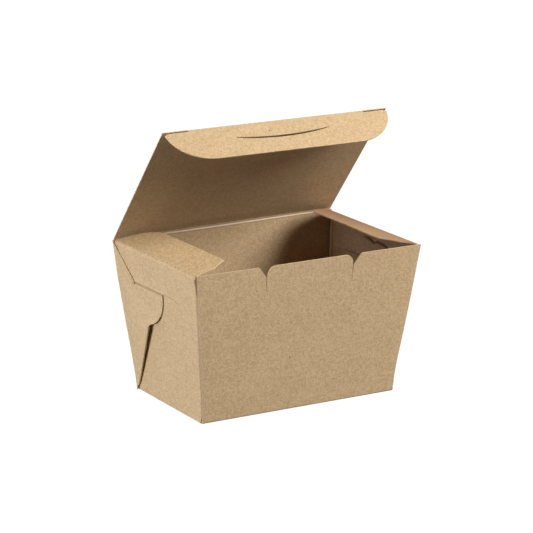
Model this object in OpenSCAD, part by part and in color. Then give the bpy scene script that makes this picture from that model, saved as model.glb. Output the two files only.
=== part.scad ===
// Takeaway box of folded board, standing open.
// One tapered carton with webbed corners, a lid with a slotted tuck flap, and two dust flaps.
// X runs along the front, the front faces -Y, Z is up, and the origin is the middle of the base.

/* [Carton] */
// Length of the open top, over the side walls
top_l = 130; // [110:1:160]
// Depth of the open top, from front to back
top_d = 88; // [76:1:110]
// Length of the base
base_l = 113; // [96:1:140]
// Depth of the base
base_d = 67; // [56:1:86]
// Height of the front edge above the table
height = 79; // [66:1:100]
// Thickness of the board
board_t = 0.5; // [0.35:0.05:0.7]

/* [Front tab] */
// Width of the tab between its two slits
tab_w = 49.6; // [36:0.2:60]
// Length of the slits, from the front edge down
tab_slit = 14; // [9:0.5:20]
// Radius of the tab's two upper corners
tab_corner_r = 4.6; // [3:0.1:6]
// Width of the notch beside the tab, at the front edge
notch_w = 4.8; // [3.5:0.1:8]
// Depth of that notch
notch_d = 5.6; // [4:0.1:7.5]

/* [Corner locks] */
// Distance of the lock slit below the top of the side wall
lock_slit_down = 18; // [15:0.5:24]
// Distance of the slit's rear end from the back corner
lock_slit_back = 20; // [17:0.5:24]
// Length of the lock slit
lock_slit_l = 45; // [42:0.5:49]
// Radius of the lock tab's round edge
lock_r = 19.4; // [17:0.2:21]
// Distance of the lock tab's middle from the back corner
lock_mid = 31; // [30:0.5:32]
// Length of the fold that closes each corner web, from the base corner up
web_fold_l = 47.5; // [43:0.5:49]
// How far the lock tab's tip stands up inside, above the slit
lock_tip_h = 10.5; // [8:0.5:13]
// How far the tip's barb reaches beyond the tab's round edge
lock_barb = 10; // [6:0.5:13]
// Distance of the front webs' top below the front edge, behind the closed tuck flap
web_relief = 9.5; // [9:0.5:16]

/* [Lid] */
// Depth of the lid, from its fold to the tuck flap's fold
lid_d = 83.6; // [72:0.2:106]
// How far the lid stands open, measured from closed
lid_open = 50; // [40:1:80]
// How much the lid's side edges stay inside the carton's
lid_inset = 0.3; // [0.2:0.1:1.5]

/* [Tuck flap] */
// Depth of the tuck flap
tuck_d = 20.4; // [16:0.2:26]
// Radius of the tuck flap's corners
tuck_corner_r = 19.4; // [10:0.2:19.4]
// How much the tuck flap's ends stay inside the carton's
tuck_inset = 0.9; // [0.6:0.1:3]
// Angle between the lid and the tuck flap
tuck_fold = 90; // [88:1:100]
// Length of the cut at each end of the tuck flap's fold
tuck_cut_l = 12; // [8:0.5:16]
// Length of the curved slot
slot_l = 52.5; // [40:0.5:64]
// Distance of the slot's ends from the fold
slot_down = 7.6; // [6:0.2:11]
// How far the slot's middle sags below its ends
slot_sag = 1.8; // [1:0.1:3]
// How far the slot stands open at its middle
slot_open = 0.7; // [0.4:0.1:1.5]

/* [Dust flaps] */
// Width of each dust flap, from its fold to its free edge
dust_w = 20.5; // [16:0.5:26]
// How far the dust flaps stand up from level
dust_tilt = 11.5; // [8:0.5:14]
// Width of the straight shoulder at the flap's front end
shoulder_w = 11; // [8:0.5:14]
// How far the front end steps back beyond the shoulder
shoulder_step = 2; // [1:0.1:4]
// How far the flap's free edge stops short of the shoulder, at its front tip
tip_back = 3.8; // [3:0.1:6]
// How far the free edge stops short of the back wall
rear_back = 19; // [16:0.5:24]
// Radius of the rear corner
rear_r = 14; // [8:0.5:16]

/* [Clearances] */
// Gap between two layers of board that lie on each other
layer_gap = 0.12; // [0.1:0.01:0.16]
// Distance from a moving fold's line to the board on each side of it
fold_clear = 0.45; // [0.4:0.05:0.7]
// Gap between moving boards that pass or lie over each other
pass_clear = 0.3; // [0.25:0.05:0.5]
// Width of a plain slit
slit_w = 0.35; // [0.25:0.05:0.5]

/* [Hidden] */
$fn = 48;
kraft = "#c5a578";
kraft_inside = "#8d7459";

// Lean of the walls
side_lean = atan((top_l - base_l) / 2 / height);
front_lean = atan((top_d - base_d) / 2 / height);

// Heights of the three kinds of top edge, so that the closed lid lies over the dust flaps and the front
dust_fold_z = height - board_t / 2;
lid_fold_z = height + pass_clear + board_t / 2;
side_top = (dust_fold_z - fold_clear) / cos(side_lean);
back_top = (lid_fold_z - fold_clear) / cos(front_lean);
front_top = height / cos(front_lean);
web_top = height / cos(side_lean);

// Places of the fold lines, in the middle of the board
dust_fold_x = base_l / 2 + dust_fold_z * tan(side_lean) - board_t / 2 / cos(side_lean);
lid_fold_y = base_d / 2 + lid_fold_z * tan(front_lean) - board_t / 2 / cos(front_lean);
wall_in_y = top_d / 2 - board_t / cos(front_lean);

// A single fold is a bead on the inside of the bend, a doubled one rounds two layers and their gap
bead_r = board_t / 2 + 0.03;
bead_in = board_t / 2 + 0.05;
double_r = board_t + layer_gap / 2;
round_r = double_r + 0.02;

// Height of each layer's inner face above the side wall's outer face
wall_r = -board_t;
under_web_r = layer_gap;
over_web_r = board_t + 2 * layer_gap;
inner_layer_r = -2 * board_t - layer_gap;
inmost_layer_r = -3 * board_t - 2 * layer_gap;
web_start = 0.9;
corner_r = 0.8;

// Corner webs, in the side wall's plane: p towards the back, q up the wall
web_half = (90 - side_lean - front_lean) / 2;
edge_slope = atan(cos(side_lean) * tan(front_lean));
fold_dir = web_half - edge_slope;
slit_q = web_top - lock_slit_down;
slit_end_p = top_d / 2 - lock_slit_back - lock_slit_l;
neck_back_p = top_d / 2 - lock_slit_back;
lock_p = top_d / 2 - lock_mid;
neck_front_p = lock_p - lock_r;
joggle = (over_web_r + board_t / 2 - inner_layer_r - board_t / 2) / 2;
slit_low = 0.5;
slit_high = slit_low + board_t + 0.15;

function edge_p(q) = base_d / 2 + q * tan(edge_slope);
function edge_x(q) = base_l / 2 + q * cos(front_lean) * tan(side_lean);
function web_fold(s) = [base_d / 2 - s * sin(fold_dir), s * cos(fold_dir)];
function arc(c, r, a0, a1, n = 10) = [for (i = [0 : n]) c + r * [cos(a0 + (a1 - a0) * i / n), sin(a0 + (a1 - a0) * i / n)]];
function flip(pts) = [for (i = [len(pts) - 1 : -1 : 0]) [-pts[i][0], pts[i][1]]];

// Frames of the walls: X along the wall, Y up it, Z out of it
module on_side() {
    translate([base_l / 2, 0, 0])
        rotate([0, side_lean, 0])
            rotate([90, 0, 90])
                children();
}

module on_front() {
    translate([0, -base_d / 2, 0])
        rotate([90 + front_lean, 0, 0])
            children();
}

module on_back() {
    mirror([0, 1, 0])
        on_front()
            children();
}

// One flat layer of board whose inner face lies at height r
module layer(pts, r) {
    translate([0, 0, r])
        linear_extrude(height = board_t)
            polygon(pts);
}

// A round bar from one point to another, as the rounding of a fold
module bar(a, b, r) {
    d = b - a;
    len_d = norm(d);
    translate(a)
        rotate([0, acos(d[2] / len_d), atan2(d[1], d[0])])
            cylinder(h = len_d, r = r);
}

// Base with its four folds
module base_panel() {
    in_x = base_l / 2 - bead_in;
    in_y = base_d / 2 - bead_in;
    translate([-in_x, -in_y, 0])
        cube([2 * in_x, 2 * in_y, board_t]);
    for (s = [-1, 1]) {
        bar([-in_x + 1, s * in_y, bead_in], [in_x - 1, s * in_y, bead_in], bead_r);
        bar([s * in_x, -in_y + 1, bead_in], [s * in_x, in_y - 1, bead_in], bead_r);
    }
}

// Front wall, up to the seam beside the side walls' rounded front edges
module front_panel() {
    cut_in = 2 * board_t + 2 * layer_gap + bead_in;
    low = edge_x(0) - cut_in;
    high = edge_x(front_top) - cut_in;
    on_front()
        difference() {
            layer([[-low, bead_in], [low, bead_in], [high, front_top], [-high, front_top]], -board_t);
            tab_cut();
            mirror([1, 0, 0])
                tab_cut();
        }
}

// The notch and slit at the right end of the front tab
module tab_cut() {
    x0 = tab_w / 2;
    corner = [x0 - tab_corner_r, front_top - tab_corner_r];
    outline = concat(
        [[x0 - tab_corner_r, front_top + 1]],
        arc(corner, tab_corner_r, 90, 0),
        [
            [x0, front_top - tab_slit],
            [x0 + slit_w, front_top - tab_slit],
            [x0 + slit_w, front_top - notch_d],
            [x0 + notch_w, front_top],
            [x0 + notch_w, front_top + 1]
        ]
    );
    translate([0, 0, -2 * board_t])
        linear_extrude(height = 3 * board_t)
            polygon(outline);
}

// Back wall, which runs out past the side walls to the webs that lie over them
module back_panel() {
    run_out = 2 * board_t + 2 * layer_gap - bead_in;
    low = edge_x(0) + run_out;
    high = edge_x(back_top) + run_out;
    on_back()
        layer([[-low, web_start], [low, web_start], [high, back_top], [-high, back_top]], -board_t);
    on_back()
        layer([[-edge_x(0) + 1, bead_in], [edge_x(0) - 1, bead_in], [edge_x(2) - 1, 2], [-edge_x(2) + 1, 2]], -board_t);
}

// Right side wall with its lock slit
module side_panel() {
    front_in = double_r;
    back_in = board_t + layer_gap + double_r;
    on_side()
        difference() {
            layer(
                [
                    [-edge_p(0) + front_in, bead_in],
                    [edge_p(0) - back_in, bead_in],
                    [edge_p(side_top) - back_in, side_top],
                    [-edge_p(side_top) + front_in, side_top]
                ],
                wall_r
            );
            lock_slit();
        }
}

// The slit: open enough for the tab as far as its neck, then a thin cut that curves down
module lock_slit() {
    bend_r = 20;
    bend_p = slit_end_p + 8;
    outer_arc = arc([bend_p, slit_q - bend_r], bend_r, 90, 114, 8);
    inner_arc = arc([bend_p, slit_q - bend_r], bend_r - slit_w, 114, 90, 8);
    translate([0, 0, -2 * board_t])
        linear_extrude(height = 4 * board_t)
            polygon([
                [neck_front_p - 0.3, slit_q - slit_low],
                [neck_back_p + 0.3, slit_q - slit_low],
                [neck_back_p + 0.3, slit_q + slit_high],
                [neck_front_p - 0.3, slit_q + slit_high]
            ]);
    translate([0, 0, -2 * board_t])
        linear_extrude(height = 4 * board_t)
            polygon(concat([[neck_front_p, slit_q]], outer_arc, inner_arc, [[neck_front_p, slit_q - slit_w]]));
}

// Web at the back corner: folded in half and laid on the outside of the side wall, its lock tab in the slit
module back_web() {
    fold_in = double_r;
    low = web_fold(web_start);
    lip = web_fold(web_fold_l);
    off = fold_in * [cos(fold_dir), sin(fold_dir)];
    back_in = board_t + layer_gap + double_r;
    tab_low = slit_q - joggle;
    on_side() {
        // Half that hangs on the side wall's back edge
        layer(
            [
                [edge_p(web_start) - back_in, web_start + 1],
                [edge_p(slit_q) - back_in, slit_q + 8],
                [neck_back_p + 1.5, slit_q - 2],
                [neck_back_p - 9, slit_q - 5],
                lip + [5.5, 0],
                lip + off,
                low + off
            ],
            under_web_r
        );
        // Half that hangs on the back wall, as far as the slit
        layer(
            concat(
                [
                    [edge_p(web_start) - bead_in, web_start],
                    [edge_p(web_top) - bead_in, web_top - 0.4],
                    [neck_back_p, slit_q - 0.7],
                    [neck_back_p, tab_low],
                    [neck_front_p + 0.05, tab_low]
                ],
                arc([lock_p, slit_q - 0.7], lock_r, 183, 246, 16),
                [lip + off, low + off]
            ),
            over_web_r
        );
        lock_tip();
        // Fold on the diagonal, fold at the side wall's back edge, fold at the back wall
        bar(
            concat(low + off, [over_web_r - layer_gap / 2]),
            concat(lip + off, [over_web_r - layer_gap / 2]),
            round_r
        );
        bar(
            [edge_p(web_start) - back_in, web_start, layer_gap / 2],
            [edge_p(side_top) - back_in, side_top - 0.1, layer_gap / 2],
            round_r
        );
        bar(
            [edge_p(web_start) - bead_in, web_start, over_web_r + board_t - bead_in],
            [edge_p(web_top) - bead_in, web_top - 0.5, over_web_r + board_t - bead_in],
            bead_r
        );
    }
}

// The lock tab's passage through the slit and its barbed tip on the inside of the wall
module lock_tip() {
    r_out = over_web_r + board_t / 2;
    r_in = inner_layer_r + board_t / 2;
    q_out = slit_q - joggle;
    q_in = slit_q + joggle;
    n = board_t / 2 * [sin(45), cos(45)];
    tip_low = q_in - 0.05;
    tip_q = slit_q + lock_tip_h;
    barb_p = neck_front_p - lock_barb;
    lobe_r = 40;
    crown_p = neck_back_p - 12;
    notch_p = crown_p - 12.5;
    translate([neck_front_p + 0.4, 0, 0])
        rotate([90, 0, 90])
            linear_extrude(height = neck_back_p - neck_front_p - 0.8)
                polygon([
                    [q_out, r_out] - n,
                    [q_in, r_in] - n,
                    [q_in, r_in] + n,
                    [q_out, r_out] + n
                ]);
    for (end = [[q_out, r_out], [q_in, r_in]])
        bar([neck_front_p + 0.4, end[0], end[1]], [neck_back_p - 0.4, end[0], end[1]], bead_r);
    layer(
        concat(
            [
                [neck_front_p + 0.4, tip_low],
                [neck_back_p - 0.4, tip_low],
                [neck_back_p - 2, tip_low + 3]
            ],
            arc([crown_p + 3, tip_q - 6], 6, 40, 90, 6),
            arc([crown_p, tip_q - lobe_r], lobe_r, 90, 107, 8),
            [[notch_p - 2, tip_q - 0.2]],
            arc([notch_p - 2, tip_q - 0.2 - lobe_r], lobe_r, 92, 104, 8),
            arc([barb_p + 3.2, slit_q + 4.4], 3.2, 150, 240, 6)
        ),
        inner_layer_r
    );
}

// Web at the front corner: folded in half and laid on the inside of the side wall
module front_web() {
    low = web_fold(web_start + 1.2);
    end = web_fold(web_fold_l);
    off = double_r * [cos(fold_dir), sin(fold_dir)];
    out_r = inner_layer_r + board_t + layer_gap / 2;
    in_r = inner_layer_r - layer_gap / 2;
    top_q = side_top - 2;
    relief_q = web_top - web_relief;
    relief_p = lid_d + board_t / 2 + 3 * pass_clear - lid_fold_y;
    half = [
        [edge_p(web_start) - double_r, web_start],
        [edge_p(top_q) - double_r, top_q],
        [edge_p(top_q) - 2, top_q - 0.5],
        [min(relief_p, edge_p(relief_q) - 1), relief_q],
        end + off,
        low + off
    ];
    on_side() {
        layer(flip(half), inner_layer_r);
        layer(flip(half), inmost_layer_r);
        bar([-low[0] - off[0], low[1] + off[1], in_r], [-end[0] - off[0], end[1] + off[1], in_r], round_r);
        // Rounded front edge of the side wall, and the fold behind the front wall
        bar(
            [-edge_p(0) + double_r, bead_in, out_r],
            [-edge_p(side_top) + double_r, side_top - 0.1, out_r],
            round_r
        );
        bar(
            [-edge_p(web_start) + bead_in, web_start, inmost_layer_r + board_t - bead_in],
            [-edge_p(top_q) + bead_in, top_q, inmost_layer_r + board_t - bead_in],
            bead_r
        );
        layer(
            [
                [-edge_p(web_start) + bead_in, web_start],
                [-edge_p(web_start) + 2, web_start],
                [-edge_p(top_q) + 2, top_q],
                [-edge_p(top_q) + bead_in, top_q]
            ],
            inmost_layer_r
        );
    }
}

// The point where a web's folds run together at the base
module base_corner(y) {
    translate([base_l / 2 - corner_r - 0.1, y, 0.02])
        cylinder(h = web_start + 0.7, r = corner_r);
}

module carton() {
    color(kraft) {
        base_panel();
        front_panel();
        back_panel();
        for (m = [0, 1])
            mirror([m, 0, 0]) {
                side_panel();
                back_web();
                front_web();
                base_corner(base_d / 2 - corner_r - 0.1);
                base_corner(-base_d / 2 + corner_r + 0.1);
            }
    }
}

// The lid stands open on its fold at the back
module on_lid() {
    translate([0, lid_fold_y, lid_fold_z])
        rotate([-lid_open, 0, 0])
            children();
}

module lid() {
    x1 = top_l / 2 - lid_inset;
    x2 = top_l / 2 - tuck_inset - tuck_cut_l;
    front = -lid_d - 0.15;
    color(kraft_inside)
        on_lid()
            translate([0, 0, -board_t / 2])
                linear_extrude(height = board_t)
                    polygon([
                        [-x1, -fold_clear],
                        [-x1, front],
                        [-x2, front],
                        [-x2, -lid_d + fold_clear],
                        [x2, -lid_d + fold_clear],
                        [x2, front],
                        [x1, front],
                        [x1, -fold_clear]
                    ]);
}

// The tuck flap hangs on the lid's front fold and has a curved slot for the front tab
module tuck_flap() {
    x1 = top_l / 2 - tuck_inset;
    x2 = x1 - tuck_cut_l;
    cut_y = -board_t / 2 - pass_clear - 0.1;
    corner = min(tuck_corner_r, tuck_d - 1);
    side_y = -tuck_d + corner;
    right = concat(
        arc([x1 - corner, side_y], corner, -90, 0, 24),
        [[x1, cut_y], [x2 + slit_w, cut_y], [x2 - 0.5, -fold_clear]]
    );
    color(kraft)
        on_lid()
            translate([0, -lid_d, 0])
                rotate([tuck_fold, 0, 0])
                    difference() {
                        translate([0, 0, -board_t / 2])
                            linear_extrude(height = board_t)
                                polygon(concat(right, flip(right)));
                        tuck_slot();
                    }
}

// Space between two arcs that meet at the slot's ends
module tuck_slot() {
    half = slot_l / 2;
    low_sag = slot_sag + slot_open;
    high_r = (half * half + slot_sag * slot_sag) / 2 / slot_sag;
    low_r = (half * half + low_sag * low_sag) / 2 / low_sag;
    difference() {
        translate([0, low_r - slot_down - low_sag, -board_t])
            cylinder(h = 2 * board_t, r = low_r, $fn = 240);
        translate([0, high_r - slot_down - slot_sag, -2 * board_t])
            cylinder(h = 4 * board_t, r = high_r, $fn = 240);
    }
}

// Right dust flap, on the fold at the side wall's top. Its front end stays behind the closed tuck flap
module dust_flap() {
    front_y = lid_fold_y - lid_d + board_t / 2 + pass_clear;
    rear_y = wall_in_y - 2 * pass_clear;
    far = -dust_w;
    corner = [far + rear_r, rear_y - rear_back];
    translate([dust_fold_x, 0, dust_fold_z])
        rotate([0, dust_tilt, 0])
            translate([0, 0, -board_t / 2])
                linear_extrude(height = board_t)
                    polygon(concat(
                        [
                            [-fold_clear, rear_y],
                            [-fold_clear, front_y],
                            [-shoulder_w, front_y],
                            [-shoulder_w - shoulder_step, front_y + shoulder_step],
                            [far, front_y + tip_back]
                        ],
                        arc(corner, rear_r, 180, 124, 10)
                    ));
}

module dust_flap_right() {
    color(kraft)
        dust_flap();
}

module dust_flap_left() {
    color(kraft)
        mirror([1, 0, 0])
            dust_flap();
}

carton();
lid();
tuck_flap();
dust_flap_left();
dust_flap_right();
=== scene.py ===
"""Takeaway box of folded kraft board, standing open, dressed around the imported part.

Each piece is worked out in millimetres as the middle layer of the board, in the part's own
frame: X along the front, the front faces -Y, Z is up.
"""
import math

import bmesh
import bpy
import numpy as np
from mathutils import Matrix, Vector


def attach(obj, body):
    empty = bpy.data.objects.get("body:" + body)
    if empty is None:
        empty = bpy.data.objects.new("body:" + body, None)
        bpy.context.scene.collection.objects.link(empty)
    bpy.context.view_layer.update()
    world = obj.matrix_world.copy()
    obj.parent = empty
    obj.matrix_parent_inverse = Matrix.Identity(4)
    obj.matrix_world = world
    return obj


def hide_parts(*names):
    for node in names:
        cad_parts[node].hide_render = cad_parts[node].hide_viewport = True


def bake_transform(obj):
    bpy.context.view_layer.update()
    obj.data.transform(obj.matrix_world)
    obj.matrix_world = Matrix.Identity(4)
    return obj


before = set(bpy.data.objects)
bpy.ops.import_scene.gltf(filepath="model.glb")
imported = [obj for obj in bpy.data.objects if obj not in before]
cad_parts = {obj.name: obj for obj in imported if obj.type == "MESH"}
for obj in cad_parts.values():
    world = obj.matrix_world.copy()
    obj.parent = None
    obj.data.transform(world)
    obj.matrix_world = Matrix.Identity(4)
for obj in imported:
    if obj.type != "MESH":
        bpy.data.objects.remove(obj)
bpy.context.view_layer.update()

# The board: the box is one sheet of 0.5 mm kraft board, die-cut and creased. Both faces are plain
# brown fibre, matt and flecked, and the cut edges show the paler middle of the sheet, with a
# painted highlight along them as well.
board_t = 0.5
layer_gap = 0.12
layer_step = board_t + layer_gap


def socket(group, name, kind, value=None, output=False):
    """A named input or output of a shader node group."""
    side = "OUTPUT" if output else "INPUT"
    made = group.interface.new_socket(name=name, in_out=side, socket_type=kind)
    if value is not None:
        made.default_value = value
    return made


def node(tree, kind, inputs=None, **settings):
    """A shader node with its settings, and inputs given as values or as sockets to link."""
    made = tree.nodes.new(kind)
    for key, value in settings.items():
        setattr(made, key, value)
    for key, value in (inputs or {}).items():
        if isinstance(value, bpy.types.NodeSocket):
            tree.links.new(value, made.inputs[key])
        else:
            made.inputs[key].default_value = value
    return made


def ramp(tree, value, low, high):
    """0 below low and 1 above high, with a smooth rise between them."""
    made = node(tree, "ShaderNodeMapRange", {"Value": value, "From Min": low, "From Max": high})
    made.interpolation_type = "SMOOTHSTEP"
    return made.outputs["Result"]


def maths(tree, operation, a, b=0.0):
    """One Math node."""
    return node(tree, "ShaderNodeMath", {0: a, 1: b}, operation=operation).outputs[0]


def blended(tree, factor, a, b, how="MIX"):
    """One colour Mix node: a where factor is 0, b where it is 1."""
    made = node(tree, "ShaderNodeMix", data_type="RGBA", blend_type=how)
    made.clamp_factor = True
    for key, value in ((0, factor), (6, a), (7, b)):
        if isinstance(value, bpy.types.NodeSocket):
            tree.links.new(value, made.inputs[key])
        else:
            made.inputs[key].default_value = value
    return made.outputs[2]


def fibre_group():
    """Kraft fibres: clouds of pulp, a fine grain, long fibres along the sheet, and dark specks."""
    group = bpy.data.node_groups.new("Kraft fibres", "ShaderNodeTree")
    socket(group, "Pale", "NodeSocketColor", (0.6, 0.42, 0.24, 1))
    socket(group, "Dark", "NodeSocketColor", (0.4, 0.27, 0.15, 1))
    socket(group, "Speck", "NodeSocketColor", (0.1, 0.06, 0.03, 1))
    socket(group, "Grain", "NodeSocketFloat", 1.0)
    socket(group, "Color", "NodeSocketColor", output=True)
    socket(group, "Height", "NodeSocketFloat", output=True)
    socket(group, "Roughness", "NodeSocketFloat", output=True)
    start = group.nodes.new("NodeGroupInput")
    end = group.nodes.new("NodeGroupOutput")
    place = node(group, "ShaderNodeTexCoord").outputs["Object"]
    flat = node(group, "ShaderNodeUVMap", uv_map="blank").outputs["UV"]

    clouds = node(group, "ShaderNodeTexNoise",
                  {"Vector": place, "Scale": 95.0, "Detail": 4.0, "Roughness": 0.6}).outputs[0]
    tufts = node(group, "ShaderNodeTexNoise",
                 {"Vector": place, "Scale": 640.0, "Detail": 3.0, "Roughness": 0.65}).outputs[0]
    grain = node(group, "ShaderNodeTexNoise",
                 {"Vector": place, "Scale": 1250.0, "Detail": 2.0, "Roughness": 0.7}).outputs[0]
    along = node(group, "ShaderNodeMapping", {"Vector": flat, "Scale": (260.0, 2300.0, 1.0)})
    across = node(group, "ShaderNodeMapping",
                  {"Vector": flat, "Scale": (1500.0, 330.0, 1.0), "Rotation": (0, 0, 0.5)})
    strands = node(group, "ShaderNodeTexNoise",
                   {"Vector": along.outputs[0], "Scale": 1.0, "Detail": 2.0,
                    "Distortion": 1.2}).outputs[0]
    cross_strands = node(group, "ShaderNodeTexNoise",
                         {"Vector": across.outputs[0], "Scale": 1.0, "Detail": 1.5,
                          "Distortion": 1.0}).outputs[0]

    mix = maths(group, "MULTIPLY", clouds, 0.2)
    mix = maths(group, "ADD", mix, maths(group, "MULTIPLY", tufts, 0.5))
    mix = maths(group, "ADD", mix, maths(group, "MULTIPLY", grain, 1.12))
    mix = maths(group, "ADD", mix, maths(group, "MULTIPLY", strands, 0.5))
    mix = maths(group, "ADD", mix, maths(group, "MULTIPLY", cross_strands, 0.35))
    tone = ramp(group, mix, 1.11, 1.56)
    tone = maths(group, "MULTIPLY", maths(group, "SUBTRACT", tone, 0.5), start.outputs["Grain"])
    tone = maths(group, "ADD", tone, 0.5)
    colour = blended(group, tone, start.outputs["Dark"], start.outputs["Pale"])

    cells = node(group, "ShaderNodeTexVoronoi", {"Vector": place, "Scale": 330.0})
    chance = node(group, "ShaderNodeTexWhiteNoise", {"Vector": cells.outputs["Position"]})
    rare = ramp(group, chance.outputs["Value"], 0.96, 0.975)
    near = ramp(group, cells.outputs["Distance"], 0.17, 0.07)
    specks = maths(group, "MULTIPLY", rare, near)
    colour = blended(group, maths(group, "MULTIPLY", specks, 0.5), colour,
                     start.outputs["Speck"])
    pale_fibre = ramp(group, cross_strands, 0.66, 0.76)
    colour = blended(group, maths(group, "MULTIPLY", pale_fibre, 0.3), colour,
                     start.outputs["Pale"])

    height = maths(group, "ADD", maths(group, "MULTIPLY", tufts, 0.6),
                   maths(group, "MULTIPLY", strands, 0.5))
    height = maths(group, "ADD", height, maths(group, "MULTIPLY", grain, 0.5))
    rough = maths(group, "ADD", 0.78, maths(group, "MULTIPLY", tone, 0.14))
    group.links.new(colour, end.inputs["Color"])
    group.links.new(height, end.inputs["Height"])
    group.links.new(rough, end.inputs["Roughness"])
    return group


fibres = fibre_group()


def kraft(name, pale, dark, grain=1.0, marks=()):
    """Board in one shade, between its pale and its dark fibres.

    The fold attribute pales the creases a little. The tint attribute goes from 1, a painted
    highlight, to -1, painted shade. Marks are single flecks: x, y, z, half width and half height
    in mm, and depth.
    """
    material = bpy.data.materials.new(name)
    material.use_nodes = True
    tree = material.node_tree
    shader = tree.nodes["Principled BSDF"]
    paper = node(tree, "ShaderNodeGroup", node_tree=fibres)
    paper.inputs["Pale"].default_value = (*pale, 1)
    paper.inputs["Dark"].default_value = (*dark, 1)
    paper.inputs["Speck"].default_value = (0.09, 0.05, 0.03, 1)
    paper.inputs["Grain"].default_value = grain
    fold = node(tree, "ShaderNodeAttribute", attribute_name="fold").outputs["Fac"]
    tint = node(tree, "ShaderNodeAttribute", attribute_name="tint").outputs["Fac"]
    # The pale colour is mixed in a little at the creases and fully at a painted highlight; the dark
    # one is painted shade.
    crease_and_highlight_colour = [0.3 * c + k for c, k in zip(pale, (0.65, 0.6, 0.53))]
    shaded = [c * k for c, k in zip(dark, (0.4, 0.24, 0.2))]
    pale_part = maths(tree, "MAXIMUM", maths(tree, "MULTIPLY", fold, 0.1), tint)
    colour = blended(tree, pale_part, paper.outputs["Color"], (*crease_and_highlight_colour, 1))
    colour = blended(tree, maths(tree, "MULTIPLY", tint, -1.0), colour, (*shaded, 1))
    place = node(tree, "ShaderNodeTexCoord").outputs["Object"]
    for x, y, z, wide, high, deep in marks:
        near = node(tree, "ShaderNodeMapping",
                    {"Vector": place,
                     "Location": (-x / wide, -y / wide, -z / high),
                     "Scale": (1000 / wide, 1000 / wide, 1000 / high)})
        span = node(tree, "ShaderNodeVectorMath", {0: near.outputs[0]}, operation="LENGTH")
        spot = ramp(tree, span.outputs["Value"], 1.0, 0.55)
        colour = blended(tree, maths(tree, "MULTIPLY", spot, deep), colour,
                         (0.08, 0.045, 0.03, 1))
    bump = node(tree, "ShaderNodeBump",
                {"Height": paper.outputs["Height"], "Strength": 0.5, "Distance": 0.00014})
    tree.links.new(colour, shader.inputs["Base Color"])
    tree.links.new(paper.outputs["Roughness"], shader.inputs["Roughness"])
    tree.links.new(bump.outputs["Normal"], shader.inputs["Normal"])
    shader.inputs["Specular IOR Level"].default_value = 0.3
    return material


# Single flecks where the photographed board has them: four dark specks and two short fibres.
flecks = [
    (-8.1, -37.02, 28.3, 0.48, 0.48, 0.9),
    (19.1, -35.09, 12.6, 0.44, 0.44, 0.85),
    (-6.9, -14.44, 139.74, 0.55, 0.55, 0.9),
    (-57.0, -34.6, 7.4, 0.4, 1.5, 0.5),
    (-49.3, -40.1, 49.2, 0.25, 1.3, 0.3),
    (-48.4, -40.0, 48.4, 0.25, 1.0, 0.25),
]
kraft_wall = kraft("Kraft board", (0.60, 0.44, 0.27), (0.43, 0.31, 0.18), marks=flecks)
# The cut edges' paler colour is the sheet's paler middle and partly a painted highlight.
kraft_cut = kraft("Cut edge of the board", (0.68, 0.52, 0.35), (0.56, 0.41, 0.26), grain=0.6)

# Carton: the base, the four leaning walls and the corner webs of the one sheet. The webs between
# the walls are folded in half and lie against the side walls, and a tab on each rear web goes
# through a slit, so that the box holds without glue.
top_l, top_d, base_l, base_d, height = 130.0, 88.0, 113.0, 67.0, 79.0
side_lean = math.atan((top_l - base_l) / 2 / height)
front_lean = math.atan((top_d - base_d) / 2 / height)
tan_s, tan_f = math.tan(side_lean), math.tan(front_lean)
cos_s, cos_f = math.cos(side_lean), math.cos(front_lean)
fold_z = 0.875
bend_r = layer_step / 2
slit_depth = 18.0
side_fold_z, lid_fold_z = height - board_t / 2, height + 0.3 + board_t / 2
back_top = lid_fold_z - 0.45
flap_start = side_fold_z - 1.6


def mirrored(patch):
    """The same grid on the other side of the box."""
    points, keep, tint = patch
    return points[:, ::-1] * [-1, 1, 1], keep[:, ::-1], tint[:, ::-1]


def grid_patch(points, keep=None, tint=0.0):
    """A grid of points, a flag for each cell that is board, and a tint for each point.

    Tint is 1 where a highlight is painted pale and -1 where shade is painted dark.
    """
    points = np.asarray(points, float)
    cells = (points.shape[0] - 1, points.shape[1] - 1)
    return (points, np.ones(cells, bool) if keep is None else keep,
            np.broadcast_to(tint, points.shape[:2]))


def flat_lengths(points):
    """Place of each point on the flat blank: lengths summed along its row and its column.

    Each patch starts at its own place on the blank, so that the fibres don't repeat.
    """
    across = np.linalg.norm(np.diff(points, axis=1), axis=2)
    down = np.linalg.norm(np.diff(points, axis=0), axis=2)
    u = np.concatenate([np.zeros((points.shape[0], 1)), np.cumsum(across, axis=1)], axis=1)
    v = np.concatenate([np.zeros((1, points.shape[1])), np.cumsum(down, axis=0)], axis=0)
    return np.stack([u + points[0, 0, 1] * 3 + 71, v + points[0, 0, 0] * 3 + 37], axis=-1)


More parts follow.
